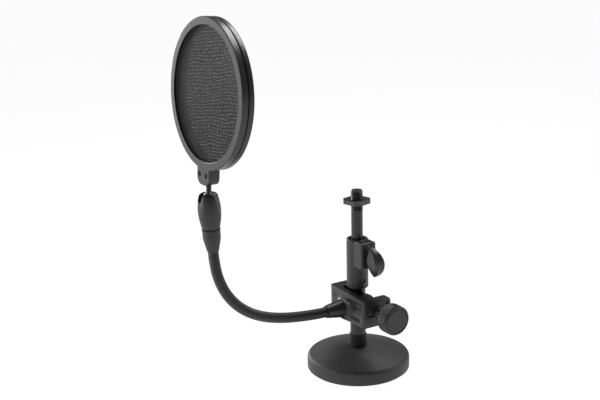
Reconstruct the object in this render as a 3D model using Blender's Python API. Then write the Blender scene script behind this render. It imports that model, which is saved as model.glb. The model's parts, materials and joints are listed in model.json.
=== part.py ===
"""Desk-stand pop filter: weighted base, height-adjustable rod, screw clamp, gooseneck and double-screen hoop.

Metres, +Z up. The origin is the centre of the rubber pad's underside. The gooseneck leaves the clamp towards -Y
and lies in the plane X = 0; the clamp's knob points towards +X.
"""
import math

import bmesh
import bpy
from mathutils import Matrix, Vector

MM = 0.001
GAP = 0.3 * MM                   # between pieces that touch
ROUND = 64                       # sides of the large turned pieces
SMALL_ROUND = 32                 # sides of the small turned pieces

# --- base ---
BASE_RADIUS = 59.0 * MM
BASE_SIDE_TOP = 13.5 * MM        # height where the straight side ends
BASE_EDGE_RADIUS = 5.0 * MM
BASE_CENTRE_HEIGHT = 26.5 * MM   # top of the shallow dome
PAD_THICKNESS = 1.5 * MM
PAD_INSET = 3.0 * MM             # the pad stays this far inside the rim
BASE_RECESS_RADIUS = 14.0 * MM
BASE_WEB = 14.0 * MM             # iron left above the nut recess
STUD_RADIUS = 4.9 * MM
NUT_ACROSS_FLATS = 16.0 * MM
NUT_HEIGHT = 5.0 * MM
WASHER_THICKNESS = 1.3 * MM
WASHER_RADIUS = 10.0 * MM

# --- lower tube, foot collar and clutch ---
TUBE_RADIUS = 9.0 * MM
TUBE_WALL = 1.3 * MM
CLUTCH_WALL = 3.4 * MM           # round the tube
CLUTCH_BOTTOM = 98.7 * MM
CLUTCH_HEIGHT = 58.0 * MM
TUBE_GRIP = 14.0 * MM            # length of tube inside the clutch
COLLAR_HEIGHT = 14.8 * MM
COLLAR_WALL = 0.5 * MM
PLUG_LENGTH = 15.0 * MM
BUSH_WALL = 1.3 * MM
BUSH_RECESS = 2.5 * MM           # depth of the bush below the clutch's top
BLOCK_REACH = 23.2 * MM          # from the axis to the end of the clutch's side block
BLOCK_HALF_WIDTH = 10.0 * MM
BLOCK_HEIGHT = 31.5 * MM
BLOCK_EDGE = 2.4 * MM            # rounding of the side block's edges
SLOT_OFFSET = 3.6 * MM
SLOT_WIDTH = 0.9 * MM
SLOT_DEPTH = 13.0 * MM
GRUB_RADIUS = 2.2 * MM

# --- rod, thread and lock nut ---
ROD_RADIUS = 6.6 * MM
ROD_TOP = 188.0 * MM
ROD_INSIDE = 74.0 * MM           # length of rod hidden below the clutch's top
ROD_GUIDE = 8.0 * MM
THREAD_RADIUS = 6.8 * MM
THREAD_HEIGHT = 25.0 * MM
THREAD_SOCKET = 12.0 * MM
THREAD_CORE = 4.6 * MM
LOCK_NUT_Z = 197.9 * MM
LOCK_NUT_HEIGHT = 4.6 * MM
LOCK_NUT_SIDE = 27.6 * MM
LOCK_NUT_CORNER = 6.2 * MM       # leg of each cut corner

# --- thumb screw on the clutch ---
THUMB_Z = 136.4 * MM
THUMB_TURN = 8.0                 # degrees the wing leans towards the front at rest
THUMB_SCREW_RADIUS = 2.4 * MM
THUMB_HOLE_RADIUS = 2.7 * MM
SHOE_RADIUS = 3.9 * MM
SHOE_LENGTH = 5.0 * MM
THUMB_WASHER = 1.2 * MM
WING_START = 27.6 * MM           # X where the wing's flat back begins
WING_RADIUS = 18.2 * MM
WING_HALF_THICKNESS = 6.6 * MM
WING_TIP_THICKNESS = 1.5 * MM
WING_HUB_RADIUS = 5.2 * MM

# --- clamp ---
CLAMP_BOTTOM = 64.5 * MM
CLAMP_HEIGHT = 32.0 * MM         # at the right end
CLAMP_RISE = 2.0 * MM            # the left end is this much taller
CLAMP_RIGHT = 42.3 * MM
JAW_CLEARANCE = 0.8 * MM         # between the moving jaw and the front wall
CLAMP_WALL = 6.7 * MM
CLAMP_LEFT_ARM = 13.7 * MM
CLAMP_RIGHT_ARM = 7.0 * MM
CLAMP_REACH = 15.6 * MM          # Y of the arms' ends
CLAMP_ARM_ROUND = 5.5 * MM
CLAMP_CUT_X = 27.0 * MM          # sloping cut under the left end: length
CLAMP_CUT_Z = 9.0 * MM           # and rise
PANEL_DEPTH = 2.2 * MM
PANEL_BORDER = 5.0 * MM
SIDE_RECESS = 1.6 * MM
SIDE_RECESS_LOW = 76.5 * MM
BOSS_Z = 76.9 * MM
BOSS_FLARE_RADIUS = 14.5 * MM
BOSS_ROOT_RADIUS = 10.6 * MM
BOSS_NIPPLE_RADIUS = 5.0 * MM
BOSS_NIPPLE = 3.0 * MM
SNOUT_END_RADIUS = 7.1 * MM
SNOUT_END = -43.5 * MM           # Y where the gooseneck leaves the snout
SCREW_RADIUS = 4.0 * MM
SCREW_Z = 80.5 * MM
INSERT_RADIUS = 6.5 * MM
JAW_RADIUS = 13.0 * MM
JAW_THICKNESS = 5.0 * MM
JAW_HUB_RADIUS = 7.5 * MM
JAW_HUB = 3.4 * MM
RUBBER = 2.0 * MM
KNOB_RADIUS = 16.0 * MM
KNOB_START = 61.0 * MM
KNOB_LENGTH = 15.6 * MM
KNOB_HUB_RADIUS = 8.0 * MM
KNOB_HUB = 4.0 * MM
CAP_RADIUS = 13.2 * MM
CAP_THICKNESS = 1.3 * MM

# --- gooseneck ---
GOOSE_RADIUS = 5.85 * MM
GOOSE_LINK = 21.6 * MM           # centre-line length from hinge to hinge
GOOSE_HEADINGS = [1, 5, 8, 14, 23, 36, 51, 66, 80, 87.4]   # degrees above -Y at each link's ends
GOOSE_END_GAP = 0.85 * MM        # half the gap between neighbouring links
GOOSE_IN_SNOUT = 14.0 * MM
GOOSE_IN_FERRULE = 10.0 * MM

# --- neck ---
FERRULE_LENGTH = 23.2 * MM
FERRULE_CYLINDER = 8.0 * MM
FERRULE_RADIUS = 9.6 * MM
FERRULE_TIP_RADIUS = 6.5 * MM
RING_THICKNESS = 0.9 * MM
RING_RADIUS = 9.9 * MM
BARREL_LENGTH = 38.0 * MM
BARREL_MAX_RADIUS = 12.3 * MM
BARREL_END_RADIUS = 9.4 * MM
BARREL_MAX_AT = 20.0 * MM        # from the barrel's bottom to its widest point
BARREL_SHOULDER = 2.4 * MM
BARREL_BORE = 7.2 * MM
BALL_RADIUS = 6.0 * MM
BALL_DROP = 5.0 * MM             # ball centre below the barrel's top
MOUTH_RADIUS = 5.3 * MM
SHANK_RADIUS = 3.15 * MM
SPIGOT_BASE = 4.0 * MM
SPIGOT_ROOT = 6.0 * MM           # length of the spigot inside the ferrule

# --- hoop ---
HOOP_RADIUS = 78.0 * MM
REAR_STEP = 0.3 * MM             # the rear half is this much smaller in radius
FACE_WIDTH = 8.3 * MM            # from the rim in to the opening
HOOP_DEPTH = 14.5 * MM
RIM_ABOVE_BALL = 30.2 * MM       # from the ball's centre to the hoop's lowest point
HOOP_LEAN = 4.0                  # degrees, top of the hoop leaning back
FRONT_BAND = 7.0 * MM
GROOVE_WIDTH = 1.5 * MM
GROOVE_DEPTH = 2.4 * MM
LIP_THICKNESS = 1.6 * MM
RIM_WALL = 4.0 * MM              # plastic outside the screens
SCREEN_THICKNESS = 0.35 * MM
RETAINER_WALL = 3.2 * MM
RETAINER_HEIGHT = 3.0 * MM
HOOP_SIDES = 96
BOSS_BOTTOM = 14.2 * MM          # from the ball's centre to the tongue's lower end
TONGUE_HALF_WIDTH = 12.7 * MM
TONGUE_THICKNESS = 2.4 * MM
TONGUE_LEDGE = 0.8 * MM          # left under the counterbores
TONGUE_CORNER = 9.0 * MM
STUD_OFFSET = 0.5 * MM           # stud axis ahead of the hoop's middle plane
BLOCK_DEPTH = 10.3 * MM
BOSS_HALF_WIDTH = 12.0 * MM
BOSS_SCREW_SPREAD = 7.0 * MM
BOSS_SCREW_RISE = 10.6 * MM
BOSS_SCREW_HEAD = 2.6 * MM
BOSS_SCREW_SHANK = 1.4 * MM
BOSS_SCREW_HEAD_HEIGHT = 0.9 * MM

# --- worked out from the sizes above ---
CLUTCH_RADIUS = TUBE_RADIUS + CLUTCH_WALL
CLAMP_LEFT = -(TUBE_RADIUS + GAP + RUBBER + CLAMP_LEFT_ARM)
CLAMP_FRONT = -(JAW_RADIUS + JAW_CLEARANCE + CLAMP_WALL)
REAR_HOOP_RADIUS = HOOP_RADIUS - REAR_STEP
OPENING_RADIUS = HOOP_RADIUS - FACE_WIDTH
HOOP_CENTRE = HOOP_RADIUS + RIM_ABOVE_BALL
GROOVE_RADIUS = HOOP_RADIUS - GROOVE_DEPTH
SEAT_RADIUS = HOOP_RADIUS - RIM_WALL
BASE_UNDERSIDE = PAD_THICKNESS + GAP
BASE_RECESS_TOP = BASE_CENTRE_HEIGHT - BASE_WEB
TUBE_BOTTOM = BASE_CENTRE_HEIGHT + GAP
TUBE_BORE = TUBE_RADIUS - TUBE_WALL
TUBE_TOP = CLUTCH_BOTTOM + TUBE_GRIP
CLUTCH_TOP = CLUTCH_BOTTOM + CLUTCH_HEIGHT
BUSH_INNER = ROD_RADIUS + GAP
BUSH_OUTER = BUSH_INNER + BUSH_WALL
BUSH_BOTTOM = TUBE_TOP + 2 * GAP
BUSH_TOP = CLUTCH_TOP - BUSH_RECESS
BLOCK_BOTTOM = CLUTCH_TOP - BLOCK_HEIGHT
SCREW_TIP = TUBE_RADIUS + GAP + RUBBER + GAP + 2.0 * MM
JAW_START = TUBE_RADIUS + GAP + RUBBER + GAP
KNOB_END = KNOB_START + KNOB_LENGTH
GOOSE_BORE = GOOSE_RADIUS + GAP
HALF_DEPTH = HOOP_DEPTH / 2
SCREEN_SEAT = HALF_DEPTH - LIP_THICKNESS - GAP


# --------------------------------------------------------------------- helpers

def material(name, colour, roughness, metallic=0.0):
    """A Principled material."""
    mat = bpy.data.materials.new(name)
    mat.use_nodes = True
    shader = mat.node_tree.nodes["Principled BSDF"]
    shader.inputs["Base Color"].default_value = (*colour, 1.0)
    shader.inputs["Roughness"].default_value = roughness
    shader.inputs["Metallic"].default_value = metallic
    return mat


def pivot(name, location=(0, 0, 0), turn_x=0.0, turn_z=0.0, parent=None):
    """An empty that carries a group of pieces; turns are in radians."""
    empty = bpy.data.objects.new(name, None)
    empty.location = location
    empty.rotation_euler = (turn_x, 0, turn_z)
    empty.parent = parent
    bpy.context.collection.objects.link(empty)
    return empty


def piece(name, bm, mat, parent=None, location=(0, 0, 0), rotation=(0, 0, 0), smooth=35):
    """Turns a bmesh into a named object with one material."""
    bmesh.ops.recalc_face_normals(bm, faces=bm.faces)
    mesh = bpy.data.meshes.new(name)
    bm.to_mesh(mesh)
    bm.free()
    mesh.shade_smooth()
    mesh.set_sharp_from_angle(angle=math.radians(smooth))
    obj = bpy.data.objects.new(name, mesh)
    obj.location = location
    obj.rotation_euler = rotation
    obj.parent = parent
    bpy.context.collection.objects.link(obj)
    if mat:
        obj.data.materials.append(mat)
    return obj


def turned(profile, sides=ROUND):
    """Spins a profile of (radius, height) points about Z; a profile off the axis is closed into a ring."""
    bm = bmesh.new()
    verts = [bm.verts.new((r, 0, z)) for r, z in profile]
    edges = [bm.edges.new(pair) for pair in zip(verts, verts[1:])]
    if min(r for r, _ in profile) > 0:
        edges.append(bm.edges.new((verts[-1], verts[0])))
    bmesh.ops.spin(bm, geom=verts + edges, cent=(0, 0, 0), axis=(0, 0, 1),
                   angle=2 * math.pi, steps=sides, use_merge=True)
    bmesh.ops.remove_doubles(bm, verts=bm.verts, dist=1e-7)
    return bm


def tube(inner, outer, low, high, sides=ROUND):
    """A plain sleeve."""
    return turned([(inner, low), (outer, low), (outer, high), (inner, high)], sides)


def rod(radius, low, high, sides=SMALL_ROUND, chamfer=0.0):
    """A solid round bar, its ends chamfered."""
    return turned([(0, low), (radius - chamfer, low), (radius, low + chamfer),
                   (radius, high - chamfer), (radius - chamfer, high), (0, high)]
                  if chamfer else [(0, low), (radius, low), (radius, high), (0, high)], sides)


def box(low, high, bevel=0.0, segments=2):
    """An upright block between two corners, its edges rounded."""
    bm = bmesh.new()
    low, high = Vector(low), Vector(high)
    size = high - low
    place = Matrix.Translation((low + high) / 2) @ Matrix.Diagonal((*size, 1))
    bmesh.ops.create_cube(bm, size=1, matrix=place)
    if bevel:
        bmesh.ops.bevel(bm, geom=bm.edges[:], offset=bevel, segments=segments, profile=0.5, affect='EDGES')
    return bm


def prism(outline, low, high):
    """Raises a flat outline of (x, y) points from one height to another."""
    bm = bmesh.new()
    floor = bm.faces.new([bm.verts.new((x, y, low)) for x, y in outline])
    raised = bmesh.ops.extrude_face_region(bm, geom=[floor])["geom"]
    bmesh.ops.translate(bm, verts=[v for v in raised if isinstance(v, bmesh.types.BMVert)],
                        vec=(0, 0, high - low))
    return bm


def arc(centre, radius, start, end, count):
    """Points on an arc; angles in degrees."""
    turns = [math.radians(start + (end - start) * i / count) for i in range(count + 1)]
    return [(centre[0] + radius * math.cos(t), centre[1] + radius * math.sin(t)) for t in turns]


def combine(obj, bm, operation, parent=None, location=(0, 0, 0), rotation=(0, 0, 0)):
    """Cuts a tool shape from an object, or joins it on, with an exact Boolean."""
    tool = piece(obj.name + "_tool", bm, None, parent or obj.parent, location, rotation)
    tool.hide_render = True
    tool.display_type = 'WIRE'
    step = obj.modifiers.new(operation.lower(), 'BOOLEAN')
    step.operation = operation
    step.solver = 'EXACT'
    step.object = tool


def cut(obj, bm, **place):
    combine(obj, bm, 'DIFFERENCE', **place)


def join(obj, bm, **place):
    combine(obj, bm, 'UNION', **place)


ALONG_X = (0, math.pi / 2, 0)     # turns a piece's own +Z to +X
ALONG_FRONT = (math.pi / 2, 0, 0)  # turns a piece's own +Z to -Y
ACROSS = (math.pi / 2, 0, math.pi / 2)  # an outline of (y, z) raised along +X


# --------------------------------------------------------------------- stand

def base(stand, iron, rubber, steel):
    """Cast disc with a straight side and a shallow dome, its pad, and the nut that holds the tube."""
    piece("base_pad", rod(BASE_RADIUS - PAD_INSET, 0, PAD_THICKNESS, ROUND), rubber, stand)
    edge = arc((BASE_RADIUS - BASE_EDGE_RADIUS, BASE_SIDE_TOP), BASE_EDGE_RADIUS, 0, 80, 5)
    rim_height = edge[-1][1]
    rim = edge[-1][0]
    hole = STUD_RADIUS + GAP
    flat = TUBE_RADIUS + 3 * MM
    dome = [(rim + (flat - rim) * t, rim_height + (BASE_CENTRE_HEIGHT - rim_height) * math.sin(t * math.pi / 2))
            for t in (0.25, 0.5, 0.75, 1.0)]
    profile = [(hole, BASE_RECESS_TOP), (BASE_RECESS_RADIUS, BASE_RECESS_TOP),
               (BASE_RECESS_RADIUS, BASE_UNDERSIDE), (BASE_RADIUS - MM, BASE_UNDERSIDE),
               (BASE_RADIUS, BASE_UNDERSIDE + MM), *edge, *dome, (hole, BASE_CENTRE_HEIGHT)]
    piece("base_casting", turned(profile), iron, stand)
    washer_top = BASE_RECESS_TOP - GAP
    washer_low = washer_top - WASHER_THICKNESS
    piece("base_washer", tube(hole, WASHER_RADIUS, washer_low, washer_top, SMALL_ROUND), steel, stand)
    nut_top = washer_low - GAP
    corner = NUT_ACROSS_FLATS / math.sqrt(3)
    nut = prism(arc((0, 0), corner, 0, 300, 5), nut_top - NUT_HEIGHT, nut_top)
    nut_object = piece("base_nut", nut, steel, stand)
    cut(nut_object, rod(hole, nut_top - NUT_HEIGHT - MM, nut_top + MM))


def lower_tube(stand, paint, steel, plastic):
    """Tube with a threaded plug in its foot and a dark collar round it."""
    stud_low = BASE_UNDERSIDE + MM
    plug_radius = TUBE_BORE - GAP
    plug = [(0, stud_low), (STUD_RADIUS, stud_low), (STUD_RADIUS, TUBE_BOTTOM), (plug_radius, TUBE_BOTTOM),
            (plug_radius, TUBE_BOTTOM + PLUG_LENGTH), (0, TUBE_BOTTOM + PLUG_LENGTH)]
    piece("tube_plug", turned(plug, SMALL_ROUND), steel, stand)
    piece("lower_tube", tube(TUBE_BORE, TUBE_RADIUS, TUBE_BOTTOM, TUBE_TOP, 48), paint, stand)
    inner = TUBE_RADIUS + GAP
    collar = tube(inner, inner + COLLAR_WALL, TUBE_BOTTOM, TUBE_BOTTOM + COLLAR_HEIGHT, 48)
    piece("foot_collar", collar, plastic, stand)


def clutch(stand, plastic, nylon, steel):
    """Round body with a side block; the thumb screw pushes a shoe against a slotted bush round the rod."""
    rounding = 1.4 * MM
    outer = arc((CLUTCH_RADIUS - rounding, CLUTCH_TOP - rounding), rounding, 0, 90, 3)
    bore = BUSH_OUTER + GAP
    grip = TUBE_RADIUS + GAP
    step = TUBE_TOP + GAP
    profile = [(0, step), (grip, step), (grip, CLUTCH_BOTTOM), (CLUTCH_RADIUS - MM, CLUTCH_BOTTOM),
               (CLUTCH_RADIUS, CLUTCH_BOTTOM + MM), *outer, (0, CLUTCH_TOP)]
    body = piece("clutch_body", turned(profile, 48), plastic, stand)
    block = box((1.3 * MM, -BLOCK_HALF_WIDTH, BLOCK_BOTTOM), (BLOCK_REACH, BLOCK_HALF_WIDTH, CLUTCH_TOP - 0.3 * MM),
                BLOCK_EDGE, 3)
    join(body, block)
    cut(body, rod(bore, step - MM, CLUTCH_TOP + MM, 48), rotation=(0, 0, math.radians(3.1)))
    slot_low = CLUTCH_TOP - SLOT_DEPTH
    cut(body, box((bore * 0.6, SLOT_OFFSET - SLOT_WIDTH / 2, slot_low),
                  (BLOCK_REACH + MM, SLOT_OFFSET + SLOT_WIDTH / 2, CLUTCH_TOP + MM)))
    shoe_start = BUSH_OUTER + 2 * GAP
    shoe_end = shoe_start + SHOE_LENGTH
    at_thumb = {"location": (0, 0, THUMB_Z), "rotation": ALONG_X}
    cut(body, rod(SHOE_RADIUS + GAP, bore * 0.6, shoe_end + GAP), **at_thumb)
    cut(body, rod(THUMB_HOLE_RADIUS, shoe_end, BLOCK_REACH + MM), **at_thumb)
    grub_z = CLUTCH_BOTTOM + 10.2 * MM
    cut(body, rod(GRUB_RADIUS + GAP, TUBE_RADIUS, CLUTCH_RADIUS + MM, 16),
        location=(0, 0, grub_z), rotation=ALONG_X)
    piece("clutch_grub_screw", rod(GRUB_RADIUS, TUBE_RADIUS + 2 * GAP, CLUTCH_RADIUS - 1.6 * MM, 16),
          steel, stand, (0, 0, grub_z), ALONG_X)
    piece("clutch_shoe", rod(SHOE_RADIUS, shoe_start, shoe_end - GAP, 24, 0.4 * MM), nylon, stand,
          (0, 0, THUMB_Z), ALONG_X)
    bush = piece("clutch_bush", tube(BUSH_INNER, BUSH_OUTER, BUSH_BOTTOM, BUSH_TOP, 48), nylon, stand)
    cut(bush, box((-BUSH_OUTER - MM, -0.6 * MM, BUSH_BOTTOM - MM), (0, 0.6 * MM, BUSH_TOP + MM)))


def height_rod(mover, paint, steel, nylon):
    """Rod with a plastic guide at its foot and a screwed-in threaded top."""
    bottom = CLUTCH_TOP - ROD_INSIDE
    bore = THREAD_CORE + 2 * GAP
    socket = ROD_TOP - THREAD_SOCKET
    profile = [(0, bottom), (ROD_RADIUS, bottom), (ROD_RADIUS, ROD_TOP), (bore, ROD_TOP), (bore, socket), (0, socket)]
    piece("upper_rod", turned(profile, 40), paint, mover)
    stem = socket + GAP
    shoulder = ROD_TOP + GAP
    top = ROD_TOP + THREAD_HEIGHT
    profile = [(0, stem), (THREAD_CORE, stem), (THREAD_CORE, shoulder), (THREAD_RADIUS, shoulder),
               (THREAD_RADIUS, top - 0.8 * MM), (THREAD_RADIUS - 0.8 * MM, top), (0, top)]
    piece("rod_thread", turned(profile, 40), steel, mover)
    guide_low = bottom - ROD_GUIDE
    piece("rod_guide", rod(TUBE_BORE - GAP, guide_low, bottom - GAP, 40, 0.6 * MM), nylon, mover)


def lock_nut(turner, steel):
    """Square plate nut with cut corners, one corner facing the front right."""
    half = LOCK_NUT_SIDE / 2
    leg = half - LOCK_NUT_CORNER
    outline = [(half, -leg), (half, leg), (leg, half), (-leg, half),
               (-half, leg), (-half, -leg), (-leg, -half), (leg, -half)]
    nut = piece("lock_nut", prism(outline, 0, LOCK_NUT_HEIGHT), steel, turner)
    cut(nut, rod(THREAD_RADIUS + GAP, -MM, LOCK_NUT_HEIGHT + MM, 40))
    soften = nut.modifiers.new("soften", 'BEVEL')
    soften.width = 0.4 * MM
    soften.segments = 2
    soften.limit_method = 'ANGLE'


def wing_section(z):
    """Back X, outer X and half thickness of the wing at a height from its axis."""
    share = min(1.0, abs(z) / WING_RADIUS)
    reach = WING_RADIUS * math.sqrt(max(0.0, 1 - share ** 2))
    half = WING_TIP_THICKNESS + (WING_HALF_THICKNESS - WING_TIP_THICKNESS) * (1 - share ** 2)
    back = WING_START + 2.4 * MM * share ** 2
    return back, WING_START + max(reach, 5.0 * MM), half


def thumb_wing():
    """Half-moon wing, thickest at its middle: stacked sections joined by bridges."""
    bm = bmesh.new()
    rings = []
    steps = 12
    for i in range(steps + 1):
        z = WING_RADIUS * 0.985 * math.sin(math.pi * (i / steps - 0.5))
        back, front, half = wing_section(z)
        soft = min(1.4 * MM, half * 0.6)
        corners = [(back, half - soft), (back + soft, half), (front - soft, half), (front, half - soft)]
        outline = corners + [(x, -y) for x, y in reversed(corners)]
        ring = [bm.verts.new((x, y, z)) for x, y in outline]
        rings.append(ring)
    for low, high in zip(rings, rings[1:]):
        for a in range(len(low)):
            b = (a + 1) % len(low)
            bm.faces.new((low[a], low[b], high[b], high[a]))
    bm.faces.new(rings[0])
    bm.faces.new(rings[-1])
    return bm


def thumb_screw(turner, plastic, steel):
    """Wing, metal screw and washer; the pivot sits on the screw's axis."""
    shoe_end = BUSH_OUTER + 2 * GAP + SHOE_LENGTH
    wing = piece("thumb_wing", thumb_wing(), plastic, turner)
    hub_start = BLOCK_REACH + 2 * GAP + THUMB_WASHER
    join(wing, rod(WING_HUB_RADIUS, hub_start, WING_START + 3 * MM, 24, 0.5 * MM), rotation=ALONG_X)
    hole_end = WING_START + 7 * MM
    cut(wing, rod(THUMB_HOLE_RADIUS, hub_start - MM, hole_end, 24), rotation=ALONG_X)
    piece("thumb_screw", rod(THUMB_SCREW_RADIUS, shoe_end + GAP, hole_end - GAP, 24, 0.5 * MM),
          steel, turner, rotation=ALONG_X)
    washer_low = BLOCK_REACH + GAP
    piece("thumb_washer", tube(THUMB_HOLE_RADIUS, 5.4 * MM, washer_low, washer_low + THUMB_WASHER, 24),
          steel, turner, rotation=ALONG_X)


# --------------------------------------------------------------------- clamp

def clamp_frame(swing, plastic):
    """C-shaped frame seen from above, open at the back, with a flared boss and a tapered snout at the front."""
    inner_left = CLAMP_LEFT + CLAMP_LEFT_ARM
    inner_right = CLAMP_RIGHT - CLAMP_RIGHT_ARM
    inner_front = CLAMP_FRONT + CLAMP_WALL
    soft = 1.6 * MM
    outline = [(CLAMP_LEFT, CLAMP_REACH), *arc((CLAMP_LEFT + soft, CLAMP_FRONT + soft), soft, 180, 270, 3),
               *arc((CLAMP_RIGHT - soft, CLAMP_FRONT + soft), soft, 270, 360, 3),
               (CLAMP_RIGHT, CLAMP_REACH), (inner_right, CLAMP_REACH),
               (inner_right, inner_front), (inner_left, inner_front), (inner_left, CLAMP_REACH)]
    top = CLAMP_BOTTOM + CLAMP_HEIGHT
    frame = piece("clamp_frame", prism(outline, CLAMP_BOTTOM, top + CLAMP_RISE), plastic, swing)
    lift = CLAMP_RISE / (CLAMP_RIGHT - CLAMP_LEFT)
    above = [(CLAMP_LEFT - MM, top + CLAMP_RISE + lift * MM), (CLAMP_RIGHT + MM, top - lift * MM),
             (CLAMP_RIGHT + MM, top + 2 * CLAMP_RISE), (CLAMP_LEFT - MM, top + 2 * CLAMP_RISE)]
    cut(frame, prism(above, -CLAMP_REACH - MM, -CLAMP_FRONT + MM), rotation=ALONG_FRONT)
    fall = CLAMP_CUT_Z / CLAMP_CUT_X
    slope = [(CLAMP_LEFT - MM, CLAMP_BOTTOM + CLAMP_CUT_Z + fall * MM),
             (CLAMP_LEFT + CLAMP_CUT_X + 3 * MM, CLAMP_BOTTOM - fall * 3 * MM), (CLAMP_LEFT - MM, CLAMP_BOTTOM - 3 * MM)]
    cut(frame, prism(slope, -CLAMP_REACH - MM, -CLAMP_FRONT + MM), rotation=ALONG_FRONT)
    corner_y = CLAMP_REACH - CLAMP_ARM_ROUND
    for z, start, stop in ((top - CLAMP_ARM_ROUND, 90, 0), (CLAMP_BOTTOM + CLAMP_ARM_ROUND, -90, 0)):
        out = math.copysign(CLAMP_ARM_ROUND + 2 * MM, start)
        corner = [(corner_y, z + out), *arc((corner_y, z), CLAMP_ARM_ROUND, start, stop, 6),
                  (CLAMP_REACH + MM, z), (CLAMP_REACH + MM, z + out)]
        cut(frame, prism(corner, inner_right - MM, CLAMP_RIGHT + MM), rotation=ACROSS)
    low_x = CLAMP_LEFT + PANEL_BORDER
    high_x = CLAMP_RIGHT - PANEL_BORDER
    low_z = CLAMP_BOTTOM + PANEL_BORDER
    high_z = top - PANEL_BORDER
    panel = [(low_x, low_z + CLAMP_CUT_Z), (low_x + CLAMP_CUT_X, low_z), (high_x, low_z), (high_x, high_z),
             (low_x, high_z)]
    cut(frame, prism(panel, -CLAMP_FRONT - PANEL_DEPTH, -CLAMP_FRONT + MM), rotation=ALONG_FRONT)
    cut(frame, box((CLAMP_RIGHT - SIDE_RECESS, CLAMP_FRONT + PANEL_BORDER, SIDE_RECESS_LOW),
                   (CLAMP_RIGHT + MM, CLAMP_REACH - 3.5 * MM, top - PANEL_BORDER)))
    root = -CLAMP_FRONT - PANEL_DEPTH
    boss = [(0, root - 2 * MM), (BOSS_FLARE_RADIUS, root - 2 * MM), (BOSS_FLARE_RADIUS, root + 0.3 * MM),
            (BOSS_ROOT_RADIUS + 1.4 * MM, root + 1.4 * MM), (BOSS_ROOT_RADIUS, root + 3.4 * MM), (0, root + 3.4 * MM)]
    join(frame, turned(boss, 40), location=(0, 0, BOSS_Z), rotation=ALONG_FRONT)
    nipple = root + 3.4 * MM + BOSS_NIPPLE
    join(frame, rod(BOSS_NIPPLE_RADIUS, root, nipple), location=(0, 0, BOSS_Z), rotation=ALONG_FRONT)
    cut(frame, rod(INSERT_RADIUS + GAP, inner_right - MM, CLAMP_RIGHT + MM), location=(0, 0, SCREW_Z),
        rotation=ALONG_X)


def lower_ferrule(swing, plastic):
    """Tapered sleeve screwed on to the frame's nipple; the gooseneck plugs into its front."""
    foot = -CLAMP_FRONT - PANEL_DEPTH + 3.4 * MM + GAP
    pocket = foot + BOSS_NIPPLE + GAP
    socket = BOSS_NIPPLE_RADIUS + GAP
    profile = [(0, pocket), (socket, pocket), (socket, foot), (BOSS_ROOT_RADIUS - 0.4 * MM, foot),
               (BOSS_ROOT_RADIUS, foot + 0.4 * MM), (SNOUT_END_RADIUS, -SNOUT_END), (0, -SNOUT_END)]
    sleeve = piece("lower_ferrule", turned(profile, 40), plastic, swing, (0, 0, BOSS_Z), ALONG_FRONT)
    cut(sleeve, rod(GOOSE_BORE, -GOOSE_IN_SNOUT - GAP, 2 * MM), parent=swing, location=(0, SNOUT_END, BOSS_Z),
        rotation=(math.pi / 2 - math.radians(GOOSE_HEADINGS[0]), 0, 0))


def clamp_fittings(swing, rubber, steel):
    """Rubber on the fixed jaw and the threaded insert in the right arm."""
    inner_left = CLAMP_LEFT + CLAMP_LEFT_ARM
    piece("fixed_jaw_rubber",
          box((inner_left + GAP, -10 * MM, CLAMP_BOTTOM + CLAMP_CUT_Z), (-TUBE_RADIUS - GAP, 10 * MM,
              CLAMP_BOTTOM + CLAMP_HEIGHT - 2 * MM), 0.4 * MM, 1), rubber, swing)
    inner_right = CLAMP_RIGHT - CLAMP_RIGHT_ARM
    piece("clamp_insert", tube(SCREW_RADIUS + GAP, INSERT_RADIUS, inner_right, CLAMP_RIGHT, SMALL_ROUND),
          steel, swing, (0, 0, SCREW_Z), ALONG_X)


def moving_jaw(slider, plastic, rubber):
    """Round jaw with a hub that holds the screw's tip, and its rubber face."""
    socket = SCREW_RADIUS + GAP
    end = JAW_START + JAW_THICKNESS
    floor = SCREW_TIP - GAP
    profile = [(0, JAW_START), (JAW_RADIUS - 0.6 * MM, JAW_START), (JAW_RADIUS, JAW_START + 0.6 * MM),
               (JAW_RADIUS, end - 0.8 * MM), (JAW_RADIUS - 0.8 * MM, end), (JAW_HUB_RADIUS, end),
               (JAW_HUB_RADIUS, end + JAW_HUB), (socket, end + JAW_HUB), (socket, floor), (0, floor)]
    piece("moving_jaw", turned(profile, 40), plastic, slider, rotation=ALONG_X)
    piece("moving_jaw_rubber", rod(JAW_RADIUS - MM, TUBE_RADIUS + GAP, JAW_START - GAP, 40), rubber, slider,
          rotation=ALONG_X)


def clamp_screw(turner, plastic, steel, cap_plastic):
    """Screw, round knob with a hub, and the flat cap let into its face."""
    socket_end = KNOB_START + 6 * MM
    piece("clamp_screw", rod(SCREW_RADIUS, SCREW_TIP, socket_end, SMALL_ROUND, 0.6 * MM), steel, turner,
          rotation=ALONG_X)
    socket = SCREW_RADIUS + GAP
    recess = CAP_RADIUS + GAP
    hub = KNOB_START - KNOB_HUB
    profile = [(socket, hub), (KNOB_HUB_RADIUS, hub), (KNOB_HUB_RADIUS, KNOB_START),
               (KNOB_RADIUS - 1.5 * MM, KNOB_START), (KNOB_RADIUS, KNOB_START + 1.5 * MM),
               (KNOB_RADIUS, KNOB_END - 1.2 * MM), (KNOB_RADIUS - 1.2 * MM, KNOB_END), (recess, KNOB_END),
               (recess, KNOB_END - CAP_THICKNESS), (0, KNOB_END - CAP_THICKNESS), ]
    shell = [(0, socket_end + GAP), (socket, socket_end + GAP), *profile]
    piece("clamp_knob", turned(shell, ROUND), plastic, turner, rotation=ALONG_X)
    piece("knob_cap", rod(CAP_RADIUS, KNOB_END - CAP_THICKNESS + GAP, KNOB_END + 0.1 * MM, 48, 0.3 * MM),
          cap_plastic, turner, rotation=ALONG_X)


# --------------------------------------------------------------------- gooseneck

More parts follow.
